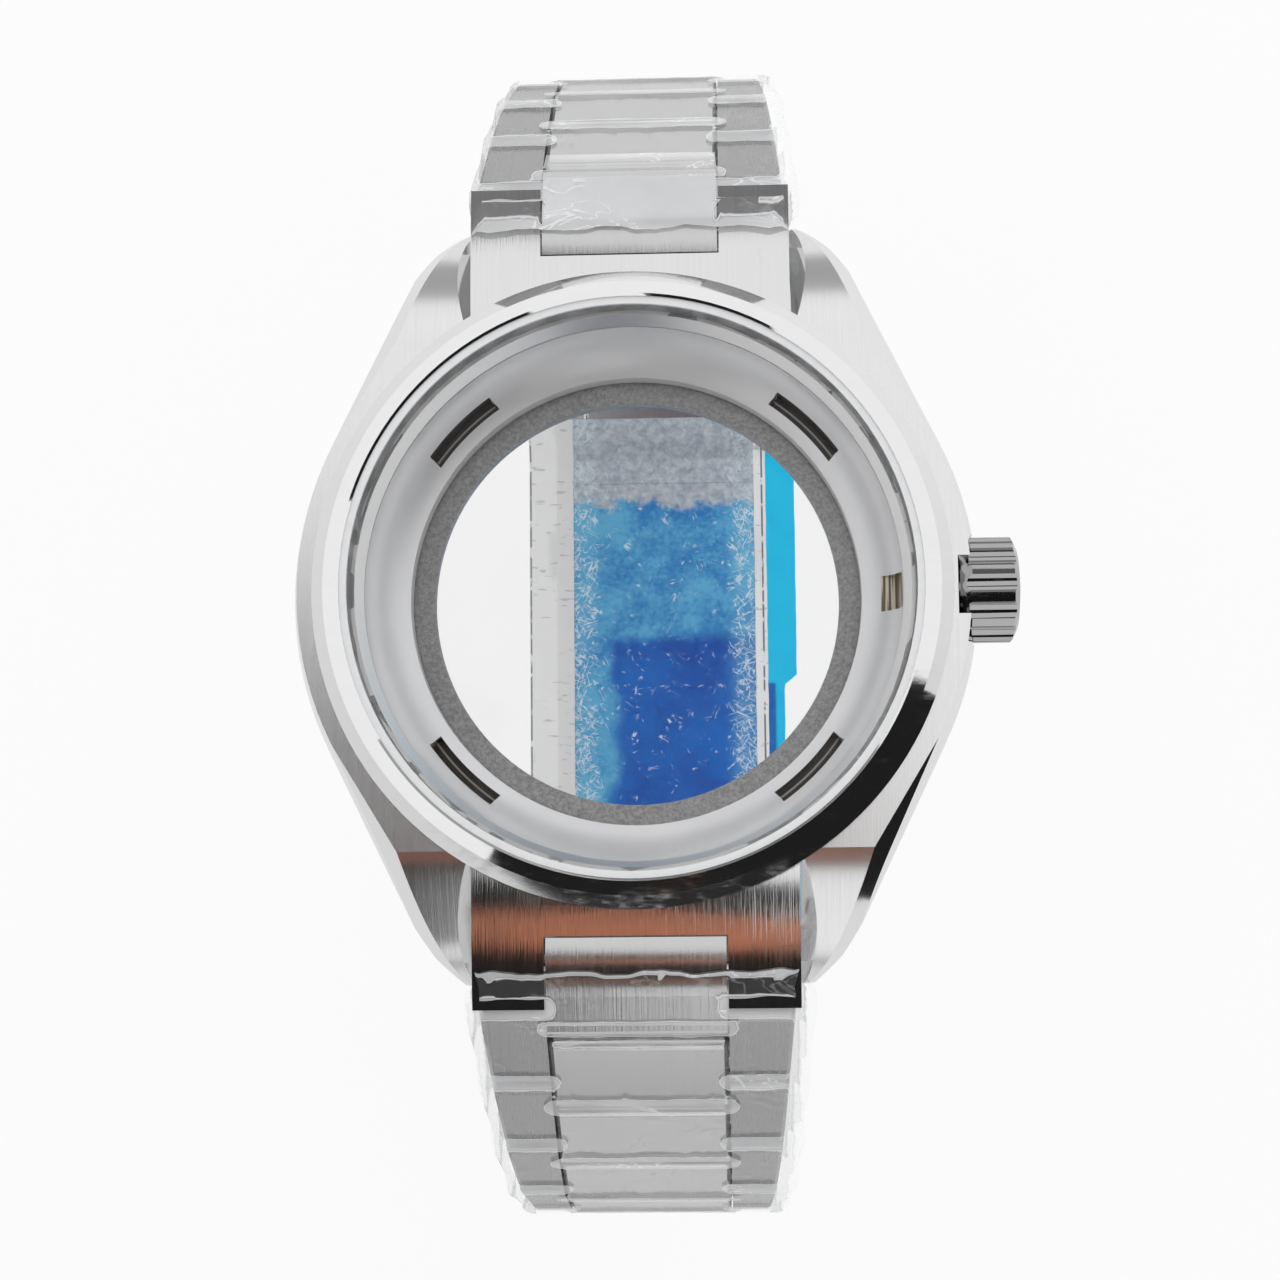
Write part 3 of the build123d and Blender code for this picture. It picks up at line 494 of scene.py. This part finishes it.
def film_strip(name, pale, dark, alpha, line_at=None):
    """A narrow strip of film with little cross wrinkles, darkened along them as painted shade, and, where asked, a
    dark line along it.
    """
    material, finish = new_finish(name)
    wrinkles = finish.noise(1.0, 3.0, 0.6, finish.place(scale=(0.6, 2.4, 1)))
    # Wrinkles take the dark colour: painted shade in their creases.
    marks = wrinkles.past(0.64, 0.05) * 0.5
    if line_at is not None:
        breaks = finish.noise(0.9, 2.0).past(0.42, 0.08)
        line = 1.0 - (finish.axis(0) - line_at).size().past(0.07, 0.05)
        marks = marks.larger(line * breaks)
    close_material(finish, surface(finish, {
        "Base Color": finish.mix(marks, pale, dark), "Roughness": wrinkles * 0.2 + 0.25,
        "Alpha": marks * (1.0 - alpha) + alpha,
        "Normal": finish.bump(wrinkles, 0.3, 0.08 * MM)}))
    return material


def cyan_strip(name):
    """The bright edge of the film, doubled over itself and darker for part of its length."""
    material, finish = new_finish(name)
    along = finish.axis(1)
    cloud = finish.noise(0.5, 3.0)
    inner = 1.0 - finish.axis(0).past(doubled_right, 0.3)
    below = 1.0 - (along + (cloud - 0.5) * 2).past(doubled_high, 0.4)
    doubled = along.past(doubled_low, 0.8) * below * inner
    bright = finish.mix(cloud, srgb(0, 192, 250), srgb(16, 212, 255))
    deep = finish.mix(cloud, srgb(12, 96, 180), srgb(20, 120, 200))
    close_material(finish, surface(finish, {
        "Base Color": finish.mix(doubled, bright, deep), "Roughness": cloud * 0.2 + 0.2,
        "Specular IOR Level": 0.2,
        "Normal": finish.bump(cloud, 0.3, 0.08 * MM)}))
    return material


finishes = {
    "case_steel": case_finish(),
    "bezel_steel": polished_steel("bezel_steel", 0.84, 0.05),
    "front_glass": clear_glass("front_glass", grey(0.985)),
    "white_gasket": soft_ring("white_gasket", srgb(236, 237, 238), srgb(222, 223, 225), 0.35),
    "holder_steel": satin_holder("holder_steel"),
    "tube_steel": brushed_steel("tube_steel", 0.62, 0.25),
    "black_rubber": soft_ring("black_rubber", srgb(28, 28, 29), srgb(20, 20, 21), 0.5),
    # Darker tint than the other polished steel: painted shade standing in for the crown's dark reflections.
    "crown_steel": polished_steel("crown_steel", 0.42, 0.07),
    "back_steel": back_finish(),
    "back_glass": clear_glass("back_glass", grey(0.985)),
    "end_link_steel": brushed_steel("end_link_steel", 0.76, 0.1),
    "centre_link_steel": brushed_steel("centre_link_steel", 0.62, 0.2, grain=(7, 0.1, 0.1)),
    # Darker tint than the other link steel: painted shade standing in for the side pieces' dark reflections.
    "side_link_steel": brushed_steel("side_link_steel", 0.42, 0.26),
    "bar_steel": polished_steel("bar_steel", 0.7, 0.15),
    "clasp_steel": brushed_steel("clasp_steel", 0.76, 0.25),
    "button_steel": polished_steel("button_steel", 0.8, 0.1),
    "blue_film": blue_film("blue_film"),
}


def finish_of_nodes():
    """Each CAD node's slot in the record says which finish it takes."""
    for part in frame["record"]["subparts"]:
        node = frame["nodes"][part["node"]]
        for slot in node.material_slots:
            slot.material = finishes[part["material_slot"]]


# Film pieces
def mesh_object(name, bm, material):
    """Turns a working mesh into a smooth-shaded object in the scene."""
    mesh = bpy.data.meshes.new(name)
    bm.to_mesh(mesh)
    bm.free()
    made = bpy.data.objects.new(name, mesh)
    made.data.materials.append(material)
    bpy.context.scene.collection.objects.link(made)
    for face in mesh.polygons:
        face.use_smooth = True
    return made


def metal_under(names):
    """Search trees for the faces of some nodes, and for points along their sharp edges
    that run across the bracelet."""
    faces = []
    spots = []
    for name in names:
        copy = bmesh.new()
        copy.from_mesh(frame["nodes"][name].data)
        bmesh.ops.remove_doubles(copy, verts=copy.verts, dist=0.001 * MM)
        faces.append(BVHTree.FromBMesh(copy))
        for edge in copy.edges:
            first, last = (vertex.co for vertex in edge.verts)
            crosswise = abs(first.x - last.x) > edge.calc_length() / 2
            if crosswise and edge.calc_face_angle(0.0) > sharp_angle:
                count = max(1, int(edge.calc_length() / edge_step))
                spots += [first.lerp(last, step / count) for step in range(count + 1)]
        copy.free()
    edges = KDTree(len(spots))
    for number, spot in enumerate(spots):
        edges.insert(spot, number)
    edges.balance()
    return faces, edges


def share(value, start, end):
    """0 at the start, 1 at the end, and held beyond them."""
    return min(1.0, max(0.0, (value - start) / (end - start)))


def mark_lift(bm, names, start, behind, loose, side_edge):
    """Writes how far each point stands off the metal: 0 clings, 1 stands clear. The open end's
    rolled edge and a loose width in the middle stand clear too. Past the links' sides the wrap
    is a single clear fold."""
    faces, edges = metal_under(names)
    layer = bm.verts.layers.float.new("lift")
    for vertex in bm.verts:
        gap = min(tree.find_nearest(vertex.co)[3] for tree in faces)
        to_edge = edges.find(vertex.co)[2]
        # Near the metal's sharp edges across the bracelet the film counts as standing clear, so it turns white
        # there: partly the film tenting over the edge, partly a painted highlight along the edge.
        lift = max(share(gap, film_gap, film_lift), 1.0 - share(to_edge, rim_full, rim_end))
        if behind and (vertex.co - start).dot(behind) < open_roll:
            lift = 1.0
        if abs(vertex.co.x) < loose:
            lift = max(lift, loose_lift)
        past_side = share(abs(vertex.co.x), side_edge, side_edge + film_rounding)
        vertex[layer] = lift * (1.0 - clear_fold * past_side)


def ruffle(bm, amount, scale, seed):
    """Small uneven waves, the same on every run."""
    shift = Vector((seed * 3.1, seed * 1.7, seed * 0.9))
    for vertex in bm.verts:
        spot = vertex.co / MM * scale + shift
        vertex.co += noise.noise_vector(spot) * amount


def hinge_line(side):
    """The hinge points of one half of the bracelet, from the case to the clasp."""
    places = {joint["name"]: joint.get("pos_m") for joint in frame["joints"]}
    points = [Vector(places[f"link_{side}_{unit}_hinge"]) for unit in link_units]
    last = Vector(places["clasp_hinge"])
    last.y = math.copysign(last.y, points[0].y)
    return points + [last]


def box_width(node):
    """A CAD node's width across the bracelet."""
    low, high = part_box(node)
    return high.x - low.x


unit_widths = [box_width("end_link_12")] + [box_width(f"sides_12_{unit}") for unit in link_units]


def wrap_outline(bm, left, right, half):
    """Rounded outline of the wrap in the XZ plane about the origin, as a closed edge loop."""
    corners = [(right, half, 0), (-left, half, 90), (-left, -half, 180), (right, -half, 270)]
    verts = []
    for x, z, start in corners:
        centre = Vector((x - math.copysign(film_rounding, x), 0,
                         z - math.copysign(film_rounding, z)))
        for step in range(corner_steps + 1):
            turn = math.radians(start + 90 / corner_steps * step)
            offset = Vector((math.cos(turn), 0, math.sin(turn))) * film_rounding
            verts.append(bm.verts.new(centre + offset))
    return [bm.edges.new((verts[number - 1], verts[number])) for number in range(len(verts))]


def section_matrix(point, along):
    """Puts the XZ outline at a point, square to the way the bracelet runs."""
    angle = math.atan2(along.z, along.y)
    return Matrix.Translation(point) @ Matrix.Rotation(angle, 4, "X")


def wrap_stations(side, unit):
    """Sections of the wrap round one hinge, from the middle of one unit to the middle of the
    next: point, direction, unit width, and share of the wrap's stand-off at the sides."""
    points = hinge_line(side)
    hinge = points[unit - 1]
    ahead = (points[unit] - hinge).normalized()
    end = (hinge + points[unit]) / 2
    wide = unit_widths[unit - 1]
    narrow = unit_widths[unit]
    if unit > 1:
        behind = (hinge - points[unit - 2]).normalized()
        start = (hinge + points[unit - 2]) / 2
        out = 1.0
    else:
        flat = math.copysign(math.cos(end_slope), ahead.y)
        behind = Vector((0, flat, -math.sin(end_slope)))
        start = hinge - behind * wrap_lead[side]
        out = 0.0
    turn = (behind + ahead).normalized()
    first, second = stations_before
    stations = [(start, behind, wide, out), (start.lerp(hinge, first), behind, wide, out),
                (start.lerp(hinge, second), behind, wide, 1.0), (hinge, turn, wide, 1.0)]
    for part in stations_after:
        stations.append((hinge.lerp(end, part), ahead, wide + (narrow - wide) * part, 1.0))
    return stations


def wrap_piece(side, unit, material):
    """The wrap round one hinge: a ring of film bridged from section to section, cut fine, ragged
    at the open end by the case, and marked with how far it stands off the metal."""
    left_out, right_out = wrap_out[side]
    half = link_half_thickness + film_gap
    stations = wrap_stations(side, unit)
    hinge = stations[3][0]
    bm = bmesh.new()
    loops = []
    for point, along, width, out in stations:
        left = width / 2 + wrap_out_between_lugs + left_out * out
        right = width / 2 + wrap_out_between_lugs + right_out * out
        thick = half + film_bulge if point is hinge else half
        edges = wrap_outline(bm, left, right, thick)
        ring = list({vertex for edge in edges for vertex in edge.verts})
        bmesh.ops.transform(bm, matrix=section_matrix(point, along), verts=ring)
        loops.append(edges)
    for first, second in zip(loops, loops[1:]):
        bmesh.ops.bridge_loops(bm, edges=first + second)
    crosswise = [edge for edge in bm.edges if edge.calc_length() > crosswise_length]
    cuts = int(unit_widths[unit] / film_cell)
    bmesh.ops.subdivide_edges(bm, edges=crosswise, cuts=cuts, use_grid_fill=True)
    lengthwise = [edge for edge in bm.edges if edge.calc_length() > long_edge
                  and abs(edge.verts[0].co.x - edge.verts[1].co.x) < edge.calc_length() / 2]
    bmesh.ops.subdivide_edges(bm, edges=lengthwise, cuts=long_edge_cuts, use_grid_fill=True)
    bmesh.ops.recalc_face_normals(bm, faces=bm.faces)
    open_way = stations[0][1] if unit == 1 else None
    if open_way:
        for vertex in bm.verts:
            reach = (vertex.co - stations[0][0]).dot(open_way)
            pull = 1.0 - share(reach, 0.0, open_reach)
            rag = sum(noise.noise(Vector((vertex.co.x / MM * pace, 0, 0))) / pace
                      for pace in rag_paces)
            vertex.co -= open_way * rag * open_rag * pull
        metal = [f"end_link_{side}", f"end_centre_{side}"]
    else:
        metal = [f"link_{side}_{unit - 1}", f"sides_{side}_{unit - 1}"]
    metal += [f"link_{side}_{unit}", f"sides_{side}_{unit}"]
    loose = unit_widths[0] * loose_share if unit == 1 and side == "12" else 0.0
    mark_lift(bm, metal, stations[0][0], open_way, loose, unit_widths[unit] / 2)
    ruffle(bm, film_wave, wrap_wave_pace, 1.0)
    return mesh_object(f"wrap_{side}_{unit}", bm, material)


def make_wraps():
    """One wrap round each hinge, between the two bodies it joins."""
    material = clear_film("clear_wrap")
    for side in ("12", "6"):
        points = hinge_line(side)
        for unit in link_units:
            piece = wrap_piece(side, unit, material)
            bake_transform(piece)


def flat_strip(name, sides, ends, height, material, narrow=None, climb=0.0):
    """A thin sheet lying level between two sides and two ends, narrower below its step. Past
    the blade it climbs over the clasp's end."""
    left, right = sides
    low, high = ends
    bm = bmesh.new()
    bmesh.ops.create_grid(bm, x_segments=max(2, int((right - left) / strip_cell)),
                          y_segments=max(4, int((high - low) / strip_cell)), size=0.5)
    bmesh.ops.scale(bm, vec=((right - left) * MM, (high - low) * MM, 1), verts=bm.verts)
    middle = Vector(((right + left) / 2, (high + low) / 2, height)) * MM
    bmesh.ops.translate(bm, vec=middle, verts=bm.verts)
    if narrow is not None:
        for vertex in bm.verts:
            below = 1.0 - share(vertex.co.y / MM, cyan_step - cyan_ease, cyan_step + cyan_ease)
            squeeze = 1.0 - below * (right - narrow) / (right - left)
            vertex.co.x = left * MM + (vertex.co.x - left * MM) * squeeze
    for vertex in bm.verts:
        vertex.co.z += climb * share(vertex.co.y / MM, climb_start, climb_end)
    ruffle(bm, film_wave, strip_wave_pace, left)
    return mesh_object(name, bm, material)


def make_clasp_films():
    """The blue cover of the inner blade and the strips beside it. They are split where the blade
    ends, and the parts past it stay on the clasp's shell."""
    blade_low, blade_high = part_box("blade_film")
    top = blade_high.z / MM
    blue = flat_strip("blue_cover", (blue_left, blue_right), (blade_low.y / MM, blade_end), top,
                      finishes["blue_film"])
    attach(blue, "blade_2")
    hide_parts("blade_film")
    # The dark colour of each strip is its painted wrinkle shade and its line.
    margin = film_strip("margin_film", srgb(250, 250, 251), srgb(150, 152, 156), 0.88,
                        margin_left + line_inset)
    fold = film_strip("fold_film", srgb(246, 247, 249), srgb(120, 118, 124), 0.92,
                      fold_right - fold_line_inset)
    cyan = cyan_strip("cyan_film")
    on_blade = (strip_low, blade_end)
    past_blade = (blade_end, cover_high)
    margin_sides = (margin_left, blue_left)
    blue_sides = (blue_left, blue_right)
    fold_sides = (blue_right, fold_right)
    cyan_sides = (fold_right, cyan_right)
    cover = finishes["blue_film"]
    strips = (
        ("clear_margin", margin_sides, on_blade, margin_rise, margin, "blade_2"),
        ("white_fold", fold_sides, on_blade, fold_rise, fold, "blade_2"),
        ("clear_margin_end", margin_sides, past_blade, margin_rise, margin, "clasp_shell"),
        ("white_fold_end", fold_sides, past_blade, fold_rise, fold, "clasp_shell"),
        ("hinge_cover", blue_sides, past_blade, cyan_rise, cover, "clasp_shell"),
        ("cyan_margin_end", cyan_sides, past_blade, cyan_rise, cyan, "clasp_shell"),
    )
    for name, sides, ends, rise, material, body in strips:
        climb = clasp_climb if ends is past_blade else 0.0
        strip = flat_strip(name, sides, ends, top + rise, material, climb=climb)
        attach(strip, body)
    strip = flat_strip("cyan_margin", cyan_sides, on_blade, top + cyan_rise, cyan, cyan_narrow)
    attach(strip, "blade_2")


# Studio
def only_reflected(made):
    """A studio piece that lights nothing and is seen only as a reflection."""
    made.visible_camera = False
    made.visible_diffuse = False
    made.visible_transmission = False
    made.visible_shadow = False


def card(name, colour, turns, heights, radius):
    """A patch of a sphere round the object. Turns are degrees from +X, and heights are degrees
    above the level of the origin."""
    from_turn, to_turn = turns
    low, high = heights
    material, finish = new_finish(name)
    close_material(finish, finish.node("ShaderNodeEmission", {}, {"Color": colour, "Strength": 1.0}))
    bm = bmesh.new()
    sideways = Matrix.Rotation(math.radians(from_turn), 3, "Z")
    upward = Matrix.Rotation(math.radians(-low), 3, "Y")
    upright = sideways @ Vector((0, -1, 0))
    start = bm.verts.new(sideways @ upward @ Vector((radius, 0, 0)))
    bmesh.ops.spin(bm, geom=[start], angle=math.radians(high - low), steps=card_rise_steps,
                   axis=upright, cent=(0, 0, 0))
    bmesh.ops.spin(bm, geom=list(bm.verts) + list(bm.edges), angle=math.radians(to_turn - from_turn),
                   steps=card_turn_steps, axis=(0, 0, 1), cent=(0, 0, 0))
    only_reflected(mesh_object(name, bm, material))


def make_studio():
    """World light, a paper floor, one softbox, and the cards that the steel reflects."""
    world = bpy.data.worlds.new("studio")
    world.use_nodes = True
    bpy.context.scene.world = world
    finish = Finish(world.node_tree)
    rays = [finish.node("ShaderNodeLightPath", out=name)
            for name in ("Is Camera Ray", "Is Glossy Ray", "Is Transmission Ray")]
    seen = rays[0].larger(rays[1]).larger(rays[2])
    light = finish.node("ShaderNodeBackground", {}, {
        "Color": grey(1.0), "Strength": seen.spread(world_fill, 1.0)})
    finish.node("ShaderNodeOutputWorld", {}, {"Surface": light})

    material, finish = new_finish("paper")
    rays = [finish.node("ShaderNodeLightPath", out=name)
            for name in ("Is Camera Ray", "Is Transmission Ray")]
    seen = rays[0].larger(rays[1])
    paper = finish.node("ShaderNodeBsdfDiffuse", {}, {"Color": grey(0.9)})
    white = finish.node("ShaderNodeEmission", {}, {"Color": grey(1.0), "Strength": 1.0})
    close_material(finish, finish.node("ShaderNodeMixShader", {}, {
        0: seen * paper_glow, 1: paper, 2: white}))
    bm = bmesh.new()
    bmesh.ops.create_grid(bm, x_segments=1, y_segments=1, size=floor_span / 2)
    bmesh.ops.translate(bm, vec=(0, 0, floor_z), verts=bm.verts)
    mesh_object("floor", bm, material)

    data = bpy.data.lights.new("softbox", "AREA")
    data.size = lamp_span
    data.energy = lamp_power
    lamp = bpy.data.objects.new("softbox", data)
    lamp.location = lamp_place
    lamp.rotation_euler = (-lamp_place).to_track_quat("-Z", "Y").to_euler()
    lamp.visible_glossy = False
    bpy.context.scene.collection.objects.link(lamp)

    dark = grey(0.015)
    brown = srgb(188, 122, 96)
    # Name, colour, turns from and to, heights from and to, and radius
    cards = (
        ("dark_low", dark, 200, 350, -6.9, -4.1, card_radius),
        ("dark_near", dark, 300, 345, -15, 0, near_card_radius),
        ("dark_left_low", dark, 234, 259, -4.1, 8, card_radius),
        ("dark_left", dark, 234, 263.5, 8, 53.5, card_radius),
        ("dark_right", dark, 290, 350, -4.1, 51.8, card_radius),
        ("dark_band", dark, 263.5, 290, 48, 51.8, card_radius),
        ("brown_left", brown, 234, 263.5, 53.5, 57, card_radius),
        ("dark_between", dark, 263.5, 270, 51.8, 57, card_radius),
        ("brown_right", brown, 270, 283, 51.8, 57, card_radius),
        ("dark_right_high", dark, 283, 350, 51.8, 57, card_radius),
        ("dark_high", dark, 210, 310, 57, 77, card_radius),
        ("brown_high", brown, 212, 310, 77, 82.3, card_radius),
        ("dark_lug", dark, 150, 212, 72, 82.3, card_radius),
        ("dark_top", grey(0.04), 174, 350, 82.3, 88, card_radius),
        ("grey_far", grey(0.4), 40, 140, -6.9, 20, card_radius),
        ("dark_far", grey(0.2), 60, 120, 50, 60.5, card_radius),
    )
    for name, colour, from_turn, to_turn, low, high, radius in cards:
        card(name, colour, (from_turn, to_turn), (low, high), radius)


def make_camera():
    """The camera of the photograph, nearly straight above the crystal."""
    data = bpy.data.cameras.new("camera")
    data.lens = camera_lens
    data.sensor_width = camera_sensor
    data.clip_start = 0.01
    data.clip_end = 10.0
    camera = bpy.data.objects.new("camera", data)
    camera.location = camera_place
    camera.rotation_euler = [math.radians(turn) for turn in camera_turn]
    bpy.context.scene.collection.objects.link(camera)
    bpy.context.scene.camera = camera


noise.seed_set(wave_seed)
make_camera()
make_studio()
finish_of_nodes()
make_wraps()
make_clasp_films()
bpy.context.scene.view_settings.view_transform = "Standard"
